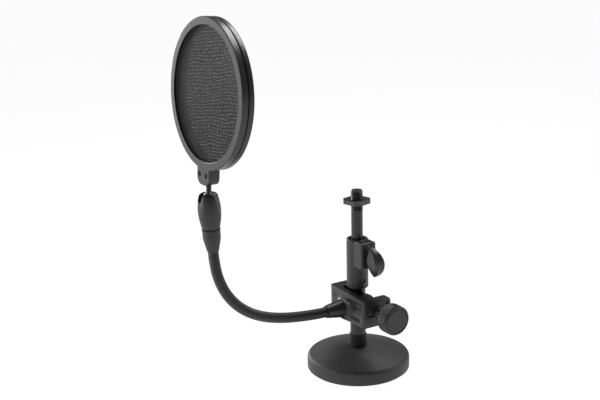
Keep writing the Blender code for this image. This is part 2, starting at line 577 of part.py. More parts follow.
def goose_joints():
    """Centre-line point of each link end in the plane X = 0, with its heading in radians."""
    y, z = SNOUT_END, BOSS_Z
    headings = [math.radians(h) for h in GOOSE_HEADINGS]
    ends = [(y, z, headings[0])]
    for start, stop in zip(headings, headings[1:]):
        bend = stop - start
        chord = GOOSE_LINK * math.sin(bend / 2) / (bend / 2)
        middle = (start + stop) / 2
        y -= chord * math.cos(middle)
        z += chord * math.sin(middle)
        ends.append((y, z, stop))
    return ends


def bent_bar(bend, length, start, stop, before=0.0, after=0.0):
    """Round bar along an arc that begins at the origin along +Z and bends towards +Y; straight tails may be added."""
    bm = bmesh.new()
    reach = length / bend
    centre = (0, reach, 0)
    axis = Vector((-1, 0, 0))
    bmesh.ops.create_circle(bm, segments=24, radius=GOOSE_RADIUS, cap_ends=False)
    bmesh.ops.rotate(bm, verts=bm.verts, cent=centre, matrix=Matrix.Rotation(start / reach, 3, axis))
    first = bm.edges[:]
    done = bmesh.ops.spin(bm, geom=bm.verts[:] + first, cent=centre, axis=axis, angle=(stop - start) / reach, steps=4)
    last = [e for e in done["geom_last"] if isinstance(e, bmesh.types.BMEdge)]
    for tail, edges, heading in ((after, last, stop / reach), (-before, first, 0)):
        if tail:
            new = bmesh.ops.extrude_edge_only(bm, edges=edges)["geom"]
            along = Vector((0, math.sin(heading), math.cos(heading))) * tail
            bmesh.ops.translate(bm, verts=[v for v in new if isinstance(v, bmesh.types.BMVert)], vec=along)
    bmesh.ops.holes_fill(bm, edges=[e for e in bm.edges if e.is_boundary], sides=0)
    return bm


def gooseneck(parent, sleeve):
    """The flexible tube as links, each an arc of the centre line with a small gap at its hinges."""
    ends = goose_joints()
    last = len(ends) - 2
    for i in range(last + 1):
        y, z, heading = ends[i]
        bend = ends[i + 1][2] - heading
        start = 0 if i == 0 else GOOSE_END_GAP
        stop = GOOSE_LINK if i == last else GOOSE_LINK - GOOSE_END_GAP
        before = GOOSE_IN_SNOUT if i == 0 else 0
        after = GOOSE_IN_FERRULE if i == last else 0
        hinge = pivot(f"goose_hinge_{i}", (0, y, z), math.pi / 2 - heading, parent=parent)
        piece(f"gooseneck_{i + 1}", bent_bar(bend, GOOSE_LINK, start, stop, before, after), sleeve, hinge)
    return ends[-1]


# --------------------------------------------------------------------- neck and ball joint

def barrel_radius(height):
    """Radius at a height above the barrel's bottom: a parabola on each side of the widest point."""
    if height < BARREL_MAX_AT:
        share = (BARREL_MAX_AT - height) / BARREL_MAX_AT
    else:
        share = (height - BARREL_MAX_AT) / (BARREL_LENGTH - BARREL_MAX_AT)
    return BARREL_MAX_RADIUS - (BARREL_MAX_RADIUS - BARREL_END_RADIUS) * share ** 2


def neck(end, parent, plastic, black, steel, nylon):
    """Ferrule on the gooseneck's end, ring, spigot and cup; then the barrel, all on one axis."""
    y, z, heading = end
    axis = pivot("neck_axis", (0, y, z), math.pi / 2 - heading, parent=parent)
    bore = GOOSE_BORE
    hole = SPIGOT_BASE + GAP
    inside = GOOSE_IN_FERRULE + GAP
    profile = [(0, inside), (bore, inside), (bore, 0), (FERRULE_TIP_RADIUS, 0),
               (FERRULE_RADIUS - 0.3 * MM, FERRULE_LENGTH - FERRULE_CYLINDER - 3 * MM),
               (FERRULE_RADIUS, FERRULE_LENGTH - FERRULE_CYLINDER), (FERRULE_RADIUS, FERRULE_LENGTH),
               (hole, FERRULE_LENGTH), (hole, FERRULE_LENGTH - SPIGOT_ROOT), (0, FERRULE_LENGTH - SPIGOT_ROOT)]
    piece("upper_ferrule", turned(profile, 40), plastic, axis)
    ring_low = FERRULE_LENGTH + GAP
    ring_high = ring_low + RING_THICKNESS
    piece("joint_ring", tube(hole, RING_RADIUS, ring_low, ring_high, 40), black, axis)
    barrel_low = ring_high + GAP
    ball = barrel_low + BARREL_LENGTH - BALL_DROP
    cup_low = ball - BALL_RADIUS - 2.4 * MM
    spigot_top = cup_low - GAP
    foot = barrel_low + 6.0 * MM
    root = FERRULE_LENGTH - SPIGOT_ROOT + GAP
    spigot = [(0, root), (SPIGOT_BASE, root), (SPIGOT_BASE, foot), (BARREL_BORE - GAP, foot),
              (BARREL_BORE - GAP, spigot_top), (0, spigot_top)]
    piece("barrel_spigot", turned(spigot, SMALL_ROUND), steel, axis)
    cup_radius = BARREL_BORE - 2 * GAP
    hollow = BALL_RADIUS + GAP
    bowl = [(hollow * math.sin(math.radians(a)), ball - hollow * math.cos(math.radians(a))) for a in (0, 18, 36, 52)]
    cup = [(0, cup_low), (cup_radius, cup_low), (cup_radius, bowl[-1][1]), *reversed(bowl)]
    piece("ball_cup", turned(cup, SMALL_ROUND), nylon, axis)
    return axis, barrel_low, ball


def barrel(turner, barrel_low, ball, plastic):
    """Turned sleeve, wide in the middle, with a mouth for the ball's stud and a notch down its front."""
    top = barrel_low + BARREL_LENGTH
    side = [(barrel_radius(h), barrel_low + h) for h in
            [BARREL_LENGTH * t for t in (0.0, 0.12, 0.26, 0.4, 0.54, 0.68, 0.82)]]
    shoulder_low = BARREL_LENGTH - BARREL_SHOULDER
    edge = barrel_radius(shoulder_low)
    shoulder = [(edge, barrel_low + shoulder_low), (edge - 1.1 * MM, top - 0.7 * MM), (edge - 2.6 * MM, top)]
    seat = BALL_RADIUS + GAP
    angles = [90, 72, 54] + [math.degrees(math.asin(MOUTH_RADIUS / seat))]
    dome = [(seat * math.sin(math.radians(a)), ball + seat * math.cos(math.radians(a))) for a in angles if a > 56]
    mouth = [(MOUTH_RADIUS, ball + math.sqrt(seat ** 2 - MOUTH_RADIUS ** 2)), (MOUTH_RADIUS + 0.9 * MM, top)]
    base_bore = SPIGOT_BASE + 2 * GAP
    foot = barrel_low + 6.0 * MM - GAP
    inner = [(BARREL_BORE, ball - MM), (BARREL_BORE, foot), (base_bore, foot), (base_bore, barrel_low)]
    profile = [*side, *shoulder, mouth[1], mouth[0], *reversed(dome[1:]), (seat, ball), *inner]
    sleeve = piece("swivel_barrel", turned(profile, 40), plastic, turner)
    half = SHANK_RADIUS + 0.6 * MM
    notch = [(-half, BALL_DROP + 2 * MM), *arc((0, 0), half, 180, 360, 6), (half, BALL_DROP + 2 * MM)]
    cut(sleeve, prism(notch, seat * 0.5, BARREL_MAX_RADIUS + 2 * MM), location=(0, 0, ball), rotation=ALONG_FRONT)


def ball_stud(tilt, steel):
    """Ball with its threaded shank; the pivot is the ball's centre and +Z runs up the shank."""
    neck_angle = math.degrees(math.asin(SHANK_RADIUS / BALL_RADIUS))
    sphere = [(BALL_RADIUS * math.sin(math.radians(a)), -BALL_RADIUS * math.cos(math.radians(a)))
              for a in [i * (180 - neck_angle) / 9 for i in range(10)]]
    top = BOSS_BOTTOM + 9 * MM
    profile = [(0, sphere[0][1]), *sphere[1:], (SHANK_RADIUS, top), (0, top)]
    piece("ball_stud", turned(profile, SMALL_ROUND), steel, tilt)


# --------------------------------------------------------------------- hoop, in its own frame: +Y up, +Z front

def hoop_ring(name, parent, outer, plastic, front):
    """One half of the hoop: an L-shaped ring with the lip outside and a seat for its screen."""
    joint = HALF_DEPTH - FRONT_BAND if front else HALF_DEPTH - FRONT_BAND - GROOVE_WIDTH
    edge = 0.9 * MM
    lip = HALF_DEPTH - LIP_THICKNESS
    if front:
        tail = joint - GROOVE_WIDTH + GAP
        profile = [(OPENING_RADIUS, lip), (OPENING_RADIUS, HALF_DEPTH - 0.4 * MM),
                   (OPENING_RADIUS + 0.4 * MM, HALF_DEPTH), (outer - edge, HALF_DEPTH),
                   (outer - edge * 0.3, HALF_DEPTH - edge * 0.3), (outer, HALF_DEPTH - edge), (outer, joint),
                   (GROOVE_RADIUS, joint), (GROOVE_RADIUS, tail), (SEAT_RADIUS, tail), (SEAT_RADIUS, lip)]
    else:
        profile = [(OPENING_RADIUS, -lip), (SEAT_RADIUS, -lip), (SEAT_RADIUS, joint), (outer, joint),
                   (outer, -HALF_DEPTH + edge), (outer - edge * 0.3, -HALF_DEPTH + edge * 0.3),
                   (outer - edge, -HALF_DEPTH), (OPENING_RADIUS, -HALF_DEPTH)]
    return piece(name, turned(profile, HOOP_SIDES), plastic, parent, (0, HOOP_CENTRE, 0))


def hoop(parent, plastic, cloth, steel):
    """Both half hoops, their screens and retaining rings, and the boss that joins them to the stud."""
    front = hoop_ring("hoop_front", parent, HOOP_RADIUS, plastic, True)
    hoop_ring("hoop_rear", parent, REAR_HOOP_RADIUS, plastic, False)
    centre = (0, HOOP_CENTRE, 0)
    rim = SEAT_RADIUS - GAP
    for name, sign in (("front", 1), ("rear", -1)):
        seats = sorted((sign * SCREEN_SEAT, sign * (SCREEN_SEAT - SCREEN_THICKNESS)))
        piece(f"screen_{name}", rod(rim, *seats, HOOP_SIDES // 2), cloth, parent, centre)
        start = SCREEN_SEAT - SCREEN_THICKNESS - GAP
        room = min(RETAINER_HEIGHT, start - GAP if sign > 0 else start - 2 * GAP)
        seats = sorted((sign * start, sign * (start - room)))
        piece(f"screen_retainer_{name}", tube(rim - RETAINER_WALL, rim, *seats, HOOP_SIDES // 2), plastic, parent,
              centre)
    tongue_top = HOOP_CENTRE - SEAT_RADIUS - 0.5 * MM
    back = HALF_DEPTH - TONGUE_THICKNESS
    shape = u_outline(TONGUE_HALF_WIDTH, BOSS_BOTTOM, tongue_top)
    join(front, prism(shape, back, HALF_DEPTH - 0.01 * MM), location=(0, 0, 0))
    screws = [(sign * BOSS_SCREW_SPREAD, BOSS_BOTTOM + BOSS_SCREW_RISE) for sign in (-1, 1)]
    ledge = back + TONGUE_LEDGE
    for x, rise in screws:
        cut(front, rod(BOSS_SCREW_SHANK + GAP, back - MM, HALF_DEPTH + MM, 16), location=(x, rise, 0))
        cut(front, rod(BOSS_SCREW_HEAD + GAP, ledge, HALF_DEPTH + MM, 20), location=(x, rise, 0))
    boss_block(parent, plastic, back, screws)
    for (x, rise), name in zip(screws, ("left", "right")):
        head = ledge + GAP
        high = head + BOSS_SCREW_HEAD_HEIGHT
        tip = back - GAP - BLOCK_DEPTH + 2 * MM
        profile = [(0, tip), (BOSS_SCREW_SHANK, tip), (BOSS_SCREW_SHANK, head), (BOSS_SCREW_HEAD, head),
                   (BOSS_SCREW_HEAD, high - 0.3 * MM), (BOSS_SCREW_HEAD - 0.3 * MM, high), (0, high)]
        piece(f"boss_screw_{name}", turned(profile, 20), steel, parent, (x, rise, 0))


def u_outline(half, bottom, top):
    """Upright outline, flat at the top, with two large round corners at the bottom."""
    corner = TONGUE_CORNER - (TONGUE_HALF_WIDTH - half)
    return [(half, top), (-half, top), *arc((corner - half, bottom + corner), corner, 180, 270, 6),
            *arc((half - corner, bottom + corner), corner, 270, 360, 6)]


def boss_block(parent, plastic, back, screws):
    """Block behind the tongue; a saddle in its top clears the hoop, and the stud screws in from below."""
    top = HOOP_CENTRE - REAR_HOOP_RADIUS + 4 * MM
    high = back - GAP
    low = high - BLOCK_DEPTH
    shape = u_outline(BOSS_HALF_WIDTH, BOSS_BOTTOM + 0.4 * MM, top)
    block = piece("boss_block", prism(shape, low, high), plastic, parent)
    cut(block, rod(HOOP_RADIUS + GAP, low - MM, high + MM, HOOP_SIDES), location=(0, HOOP_CENTRE, 0))
    cut(block, rod(SHANK_RADIUS + GAP, BOSS_BOTTOM - MM, BOSS_BOTTOM + 9 * MM + GAP),
        location=(0, 0, STUD_OFFSET), rotation=(-math.pi / 2, 0, 0))
    for x, rise in screws:
        cut(block, rod(BOSS_SCREW_SHANK + GAP, low + MM, high + MM, 16), location=(x, rise, 0))


# --------------------------------------------------------------------- assembly

def build():
    for old in list(bpy.data.objects):
        bpy.data.objects.remove(old, do_unlink=True)
    iron = material("painted_iron", (0.045, 0.046, 0.048), 0.5)
    paint = material("tube_paint", (0.03, 0.03, 0.032), 0.34)
    plastic = material("moulded_plastic", (0.028, 0.028, 0.03), 0.42)
    hoop_plastic = material("hoop_plastic", (0.035, 0.035, 0.037), 0.38)
    black = material("black_plastic", (0.008, 0.008, 0.009), 0.55)
    cap_plastic = material("cap_plastic", (0.05, 0.05, 0.052), 0.5)
    nylon = material("nylon", (0.02, 0.02, 0.02), 0.5)
    rubber = material("rubber", (0.012, 0.012, 0.012), 0.85)
    steel = material("black_steel", (0.06, 0.06, 0.062), 0.35, 1.0)
    sleeve = material("gooseneck_coating", (0.03, 0.03, 0.032), 0.45)
    cloth = material("screen_nylon", (0.02, 0.02, 0.022), 0.7)

    stand = pivot("stand")
    base(stand, iron, rubber, steel)
    lower_tube(stand, paint, steel, black)
    clutch(stand, plastic, nylon, steel)
    mover = pivot("rod_axis", parent=stand)
    height_rod(mover, paint, steel, nylon)
    facing = math.atan2(-0.53, 0.85) + math.pi / 4
    lock_nut(pivot("lock_nut_axis", (0, 0, LOCK_NUT_Z), turn_z=facing, parent=mover), steel)
    thumb = pivot("thumb_axis", (0, 0, THUMB_Z), math.radians(THUMB_TURN), parent=stand)
    thumb_screw(thumb, plastic, steel)

    swing = pivot("clamp_axis", parent=stand)
    clamp_frame(swing, plastic)
    lower_ferrule(swing, plastic)
    clamp_fittings(swing, rubber, steel)
    jaw = pivot("jaw_axis", (0, 0, SCREW_Z), parent=swing)
    moving_jaw(jaw, plastic, rubber)
    clamp_screw(pivot("clamp_screw_axis", parent=jaw), plastic, steel, cap_plastic)

    end = gooseneck(swing, sleeve)
    axis, barrel_low, ball = neck(end, swing, plastic, black, steel, nylon)
    barrel(pivot("barrel_axis", parent=axis), barrel_low, ball, plastic)
    neck_lean = math.pi / 2 - end[2]
    tilt = pivot("ball_centre", (0, 0, ball), -math.radians(HOOP_LEAN) - neck_lean, parent=axis)
    ball_stud(tilt, steel)
    frame = pivot("hoop_frame", (0, STUD_OFFSET, 0), math.pi / 2, parent=tilt)
    hoop(frame, hoop_plastic, cloth, steel)


build()
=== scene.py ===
# %% [markdown]
# # A pop filter on its desk stand
# A pop filter is two fine nylon screens held apart in a hoop. A gooseneck carries the hoop, and a screw
# clamp holds the gooseneck on a small desk stand with a heavy base. The engineering model is loaded
# first and stays where it is; this lesson gives each piece its finish, and builds with numpy the pieces
# whose real surface is finer than an engineering solid: threads, ribs, the gooseneck's coil and the weave.

import json
import math

import bmesh
import bpy
import numpy as np
from mathutils import Matrix, Vector


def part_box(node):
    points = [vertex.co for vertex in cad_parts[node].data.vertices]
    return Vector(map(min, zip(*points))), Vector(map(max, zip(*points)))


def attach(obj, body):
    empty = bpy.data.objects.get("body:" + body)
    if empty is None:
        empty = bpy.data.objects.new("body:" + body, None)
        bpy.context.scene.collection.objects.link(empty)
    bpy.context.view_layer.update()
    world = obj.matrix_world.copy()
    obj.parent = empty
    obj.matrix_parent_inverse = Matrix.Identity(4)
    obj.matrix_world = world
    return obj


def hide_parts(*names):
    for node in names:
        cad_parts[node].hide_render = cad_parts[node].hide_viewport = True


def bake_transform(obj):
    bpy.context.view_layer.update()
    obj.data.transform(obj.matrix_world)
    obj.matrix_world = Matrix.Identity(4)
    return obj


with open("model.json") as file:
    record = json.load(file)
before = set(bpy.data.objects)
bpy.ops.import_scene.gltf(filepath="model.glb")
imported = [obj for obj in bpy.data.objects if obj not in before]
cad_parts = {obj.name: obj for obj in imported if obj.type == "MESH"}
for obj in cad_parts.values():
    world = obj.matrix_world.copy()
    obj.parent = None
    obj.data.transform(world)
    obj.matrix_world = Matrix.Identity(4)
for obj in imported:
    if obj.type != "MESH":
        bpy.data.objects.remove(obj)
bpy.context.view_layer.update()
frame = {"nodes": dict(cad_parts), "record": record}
NODES = frame["nodes"]

# %% [markdown]
# ## Camera and light
# A small black product on white is lit by what it reflects. The floor is pale and nearly evenly bright,
# a soft box hangs over the stand, two more stand to its left and a weak one behind its right, so
# every round piece gets a light edge, a dark middle and a soft light band. A long lens keeps the hoop's
# ellipse and the base's ellipse in the proportions that an eye more than a metre away sees.

# %% Camera
EYE = Vector((1.05885, -0.72047, 0.56808))
AZIMUTH = 1.0160
ELEVATION = 0.2790
ROLL = -0.0220
back = Vector((math.sin(AZIMUTH) * math.cos(ELEVATION), -math.cos(AZIMUTH) * math.cos(ELEVATION),
               math.sin(ELEVATION)))
level = Vector((math.cos(AZIMUTH), math.sin(AZIMUTH), 0))
upward = back.cross(level)
right = math.cos(ROLL) * level + math.sin(ROLL) * upward
top = back.cross(right)
lens = bpy.data.cameras.new("camera")
lens.sensor_width = 36
lens.lens = 71.38
lens.shift_x = -0.0132
lens.shift_y = 0.0012
lens.clip_end = 50
camera = bpy.data.objects.new("camera", lens)
camera.matrix_world = Matrix((right, top, back)).transposed().to_4x4()
camera.matrix_world.translation = EYE
bpy.context.collection.objects.link(camera)
bpy.context.scene.camera = camera
print("camera at", tuple(round(x, 3) for x in EYE))


# %% Light
def softbox(name, place, aim, width, height, watts):
    """A rectangular lamp at `place` whose face looks at `aim`; the camera doesn't see the lamp itself."""
    data = bpy.data.lights.new(name, "AREA")
    data.shape = "RECTANGLE"
    data.size = width
    data.size_y = height
    data.energy = watts
    lamp = bpy.data.objects.new(name, data)
    lamp.location = place
    lamp.rotation_euler = (Vector(aim) - Vector(place)).to_track_quat("-Z", "Y").to_euler()
    lamp.visible_camera = False
    bpy.context.collection.objects.link(lamp)
    return lamp


MIDDLE = (0, -0.09, 0.2)
softbox("overhead", (-0.20, 0.45, 1.25), (0, -0.1, 0.2), 0.7, 0.5, 11)
softbox("left_back", (-1.2, -0.25, 0.45), MIDDLE, 0.4, 0.8, 12)
softbox("left_front", (-0.45, -1.35, 0.40), MIDDLE, 0.6, 0.9, 10)
softbox("right_back", (0.5, 1.2, 0.6), MIDDLE, 0.4, 0.9, 5)
bpy.context.scene.view_settings.view_transform = "Standard"
world = bpy.data.worlds.new("room")
world.use_nodes = True
world.node_tree.nodes["Background"].inputs["Color"].default_value = (1, 1, 1, 1)
world.node_tree.nodes["Background"].inputs["Strength"].default_value = 0.10
bpy.context.scene.world = world


# %% [markdown]
# ## Surfaces as arrays
# Nearly every piece here is a surface of two parameters: along a profile, and round an axis. One helper
# turns a grid of points into a closed mesh, and one helper carries a profile round an axis. Grids are
# worked out as whole arrays, which is quick and keeps each formula readable in one line.

# %% Grid to mesh
def skin(name, grid, wrap_rows=False, merge=1e-7):
    """Mesh from points[row, column]; columns always wrap round, rows wrap if asked, and open end rows are capped."""
    rows, columns = grid.shape[:2]
    index = np.arange(rows * columns).reshape(rows, columns)
    lower = index if wrap_rows else index[:-1]
    upper = np.roll(index, -1, axis=0) if wrap_rows else index[1:]
    quads = np.stack([lower, np.roll(lower, -1, axis=1), np.roll(upper, -1, axis=1), upper], axis=-1).reshape(-1, 4)
    faces = quads.tolist() + ([] if wrap_rows else [index[0].tolist(), index[-1].tolist()])
    mesh = bpy.data.meshes.new(name)
    mesh.from_pydata(grid.reshape(-1, 3).tolist(), [], faces)
    bm = bmesh.new()
    bm.from_mesh(mesh)
    bmesh.ops.remove_doubles(bm, verts=bm.verts, dist=merge)
    bmesh.ops.dissolve_degenerate(bm, edges=bm.edges, dist=merge)
    bmesh.ops.recalc_face_normals(bm, faces=bm.faces)
    bm.to_mesh(mesh)
    bm.free()
    mesh.shade_smooth()
    mesh.set_sharp_from_angle(angle=math.radians(40))
    obj = bpy.data.objects.new(name, mesh)
    bpy.context.collection.objects.link(obj)
    return obj


def around(profile, sides=96, place=None):
    """Points of (radius, height) pairs turned about Z: x = r cos a, y = r sin a; then moved by a 4x4 matrix."""
    profile = np.asarray(profile, float)
    angle = np.linspace(0, 2 * np.pi, sides, endpoint=False)
    radius = profile[:, 0][:, None] * np.ones(sides)
    height = profile[:, 1][:, None] * np.ones(sides)
    return put(np.stack([radius * np.cos(angle), radius * np.sin(angle), height], axis=-1), place)


def put(points, place):
    """Points turned and moved by a 4x4 matrix."""
    if place is None:
        return points
    matrix = np.array(place)
    return points @ matrix[:3, :3].T + matrix[:3, 3]


def soften(corners, size, steps=6, closed=True):
    """Each corner becomes the parabola (1-t)^2 A + 2t(1-t) P + t^2 C between points `size` before and after it."""
    p = np.asarray(corners, float)
    before = np.roll(p, 1, axis=0) - p
    after = np.roll(p, -1, axis=0) - p
    reach_a = np.minimum(size, np.linalg.norm(before, axis=1) * 0.49)[:, None]
    reach_c = np.minimum(size, np.linalg.norm(after, axis=1) * 0.49)[:, None]
    a = p + before / np.linalg.norm(before, axis=1)[:, None] * reach_a
    c = p + after / np.linalg.norm(after, axis=1)[:, None] * reach_c
    t = np.linspace(0, 1, steps)[None, :, None]
    curve = (1 - t) ** 2 * a[:, None] + 2 * t * (1 - t) * p[:, None] + t ** 2 * c[:, None]
    if closed:
        return curve.reshape(-1, 2)
    return np.concatenate([p[:1], curve[1:-1].reshape(-1, 2), p[-1:]])


MM = 0.001
ALONG_X = Matrix.Rotation(math.pi / 2, 4, "Y")
print("helpers ready")


# %% [markdown]
# ## Finishes
# All the pieces are black, so what tells them apart is how they scatter light: orange-peel paint on the
# cast base, even powder coat on the tubes, spark-textured moulded plastic, oiled black steel, soft rubber.
# Each effect is one shader group with a few inputs, built once and reused at the scale each finish needs.

# %% Shader groups
def group(name, inputs, outputs):
    """Empty shader group with float, colour or vector sockets; gives the tree and its two end nodes."""
    tree = bpy.data.node_groups.new(name, "ShaderNodeTree")
    for label, kind, value in inputs:
        socket = tree.interface.new_socket(name=label, in_out="INPUT", socket_type="NodeSocket" + kind)
        socket.default_value = value
    for label, kind in outputs:
        tree.interface.new_socket(name=label, in_out="OUTPUT", socket_type="NodeSocket" + kind)
    return tree, tree.nodes.new("NodeGroupInput"), tree.nodes.new("NodeGroupOutput")


def calc(tree, operation, a, b=None, c=None, clamp=False):
    """A Math node; each operand is a number or a socket."""
    node = tree.nodes.new("ShaderNodeMath")
    node.operation = operation
    node.use_clamp = clamp
    for socket, value in zip(node.inputs, (a, b, c)):
        if value is None:
            continue
        if isinstance(value, (int, float)):
            socket.default_value = value
        else:
            tree.links.new(value, socket)
    return node.outputs[0]


def noise(tree, where, size, detail=2.0, roughness=0.5):
    """Noise with lumps about `size` metres across; size is a socket or a number."""
    node = tree.nodes.new("ShaderNodeTexNoise")
    node.inputs["Detail"].default_value = detail
    node.inputs["Roughness"].default_value = roughness
    tree.links.new(where, node.inputs["Vector"])
    tree.links.new(calc(tree, "DIVIDE", 1.0, size), node.inputs["Scale"])
    return node.outputs["Fac"]


def skin_group():
    """Roughness that drifts over large patches, and a bump made of a fine grain and a broader ripple."""
    tree, start, end = group("moulded_skin", [
        ("Grain size", "Float", 0.0006), ("Grain depth", "Float", 0.00002), ("Ripple size", "Float", 0.004),
        ("Ripple depth", "Float", 0.00002), ("Roughness low", "Float", 0.35), ("Roughness high", "Float", 0.45)],
        [("Roughness", "Float"), ("Normal", "Vector")])
    where = tree.nodes.new("ShaderNodeTexCoord").outputs["Object"]
    grain = noise(tree, where, start.outputs["Grain size"], 3.0, 0.6)
    ripple = noise(tree, where, start.outputs["Ripple size"], 1.0)
    height = calc(tree, "ADD", calc(tree, "MULTIPLY", grain, start.outputs["Grain depth"]),
                  calc(tree, "MULTIPLY", ripple, start.outputs["Ripple depth"]))
    bump = tree.nodes.new("ShaderNodeBump")
    bump.inputs["Strength"].default_value = 1.0
    bump.inputs["Distance"].default_value = 1.0
    tree.links.new(height, bump.inputs["Height"])
    patches = noise(tree, where, 0.018, 4.0, 0.55)
    spread = calc(tree, "SUBTRACT", start.outputs["Roughness high"], start.outputs["Roughness low"])
    rough = calc(tree, "MULTIPLY_ADD", patches, spread, start.outputs["Roughness low"])
    tree.links.new(rough, end.inputs["Roughness"])
    tree.links.new(bump.outputs["Normal"], end.inputs["Normal"])
    return tree


def tone_group():
    """Colour that drifts between two close tones, with sparse paler specks of dust."""
    tree, start, end = group("tone_and_dust", [
        ("Dark", "Color", (0.02, 0.02, 0.02, 1)), ("Light", "Color", (0.03, 0.03, 0.03, 1)),
        ("Patch size", "Float", 0.012), ("Dust", "Float", 0.2)], [("Color", "Color")])
    where = tree.nodes.new("ShaderNodeTexCoord").outputs["Object"]
    mix = tree.nodes.new("ShaderNodeMix")
    mix.data_type = "RGBA"
    tree.links.new(noise(tree, where, start.outputs["Patch size"], 5.0, 0.6), mix.inputs["Factor"])
    tree.links.new(start.outputs["Dark"], mix.inputs["A"])
    tree.links.new(start.outputs["Light"], mix.inputs["B"])
    specks = noise(tree, where, 0.0011, 0.0)
    sparse = calc(tree, "MULTIPLY", calc(tree, "SUBTRACT", specks, 0.74, clamp=True), 9.0, clamp=True)
    dusty = tree.nodes.new("ShaderNodeMix")
    dusty.data_type = "RGBA"
    tree.links.new(calc(tree, "MULTIPLY", sparse, start.outputs["Dust"]), dusty.inputs["Factor"])
    tree.links.new(mix.outputs["Result"], dusty.inputs["A"])
    dusty.inputs["B"].default_value = (0.16, 0.155, 0.15, 1)
    tree.links.new(dusty.outputs["Result"], end.inputs["Color"])
    return tree


SKIN = skin_group()
TONE = tone_group()
print("groups:", SKIN.name, TONE.name)


# %% Finish
def finish(name, dark, light, rough, grain, ripple, metallic=0.0, dust=0.15, coat=0.0, specular=0.5):
    """Principled finish: two tones, a roughness range, (size, depth) of grain and of ripple."""
    mat = bpy.data.materials.new(name)
    mat.use_nodes = True
    tree = mat.node_tree
    shader = tree.nodes["Principled BSDF"]
    shader.inputs["Metallic"].default_value = metallic
    shader.inputs["Coat Weight"].default_value = coat
    shader.inputs["Coat Roughness"].default_value = 0.12
    shader.inputs["Specular IOR Level"].default_value = specular
    texture = tree.nodes.new("ShaderNodeGroup")
    texture.node_tree = SKIN
    for label, value in zip(("Grain size", "Grain depth", "Ripple size", "Ripple depth"), (*grain, *ripple)):
        texture.inputs[label].default_value = value
    texture.inputs["Roughness low"].default_value = rough[0]
    texture.inputs["Roughness high"].default_value = rough[1]
    tone = tree.nodes.new("ShaderNodeGroup")
    tone.node_tree = TONE
    tone.inputs["Dark"].default_value = (*dark, 1)
    tone.inputs["Light"].default_value = (*light, 1)
    tone.inputs["Dust"].default_value = dust
    tree.links.new(texture.outputs["Roughness"], shader.inputs["Roughness"])
    tree.links.new(texture.outputs["Normal"], shader.inputs["Normal"])
    tree.links.new(tone.outputs["Color"], shader.inputs["Base Color"])
    return mat


CAST_PAINT = finish("cast_paint", (0.0200, 0.0205, 0.0215), (0.0260, 0.0265, 0.0275), (0.52, 0.64),
                    (0.0011, 0.00005), (0.0045, 0.00006))
TUBE_COAT = finish("tube_coat", (0.0110, 0.0110, 0.0120), (0.0150, 0.0150, 0.0160), (0.26, 0.34),
                   (0.0007, 0.000008), (0.003, 0.00001))
MOULDED = finish("moulded_plastic", (0.0130, 0.0130, 0.0140), (0.0180, 0.0180, 0.0195), (0.34, 0.44),
                 (0.0005, 0.000018), (0.006, 0.00002))
HOOP_PLASTIC = finish("hoop_plastic", (0.0150, 0.0150, 0.0155), (0.0200, 0.0200, 0.0205), (0.30, 0.38),
                      (0.0005, 0.00001), (0.008, 0.00002))
DARK_PLASTIC = finish("dark_plastic", (0.0030, 0.0030, 0.0035), (0.0050, 0.0050, 0.0055), (0.48, 0.60),
                      (0.0005, 0.00002), (0.004, 0.00001), specular=0.3)
CAP_PLASTIC = finish("cap_plastic", (0.0200, 0.0200, 0.0215), (0.0260, 0.0260, 0.0275), (0.42, 0.50),
                     (0.0006, 0.000025), (0.005, 0.00001))
NYLON = finish("nylon", (0.0080, 0.0080, 0.0085), (0.0110, 0.0110, 0.0115), (0.40, 0.52),
               (0.0006, 0.00001), (0.004, 0.00001))
RUBBER = finish("rubber", (0.0040, 0.0040, 0.0040), (0.0070, 0.0070, 0.0070), (0.72, 0.86),
                (0.0005, 0.00003), (0.003, 0.00002), dust=0.3, specular=0.3)
BLACK_STEEL = finish("black_steel", (0.045, 0.045, 0.046), (0.075, 0.075, 0.077), (0.28, 0.42),
                     (0.0004, 0.000012), (0.002, 0.00001), metallic=0.6)
STUD_STEEL = finish("stud_steel", (0.11, 0.11, 0.115), (0.16, 0.16, 0.165), (0.30, 0.42),
                    (0.0004, 0.00001), (0.002, 0.00001), metallic=0.7)
SCREW_BLACK = finish("screw_black", (0.003, 0.003, 0.003), (0.005, 0.005, 0.005), (0.55, 0.65),
                     (0.0004, 0.00001), (0.002, 0.00001), specular=0.15)
SLEEVE = finish("gooseneck_sleeve", (0.0100, 0.0100, 0.0105), (0.0140, 0.0140, 0.0150), (0.34, 0.44),
                (0.0004, 0.000012), (0.003, 0.00001))
FINISHES = {"painted_iron": CAST_PAINT, "tube_paint": TUBE_COAT, "moulded_plastic": MOULDED,
            "hoop_plastic": HOOP_PLASTIC, "black_plastic": DARK_PLASTIC, "cap_plastic": CAP_PLASTIC,
            "nylon": NYLON, "rubber": RUBBER, "black_steel": BLACK_STEEL, "gooseneck_coating": SLEEVE}
SLOTS = {part["node"]: part["material_slot"] for part in frame["record"]["subparts"]}
for node, slot in SLOTS.items():
    if slot in FINISHES:
        for holder in NODES[node].material_slots:
            holder.material = FINISHES[slot]
for node in ("boss_screw_left", "boss_screw_right"):
    for holder in NODES[node].material_slots:
        holder.material = SCREW_BLACK
print("finishes:", sorted(FINISHES))

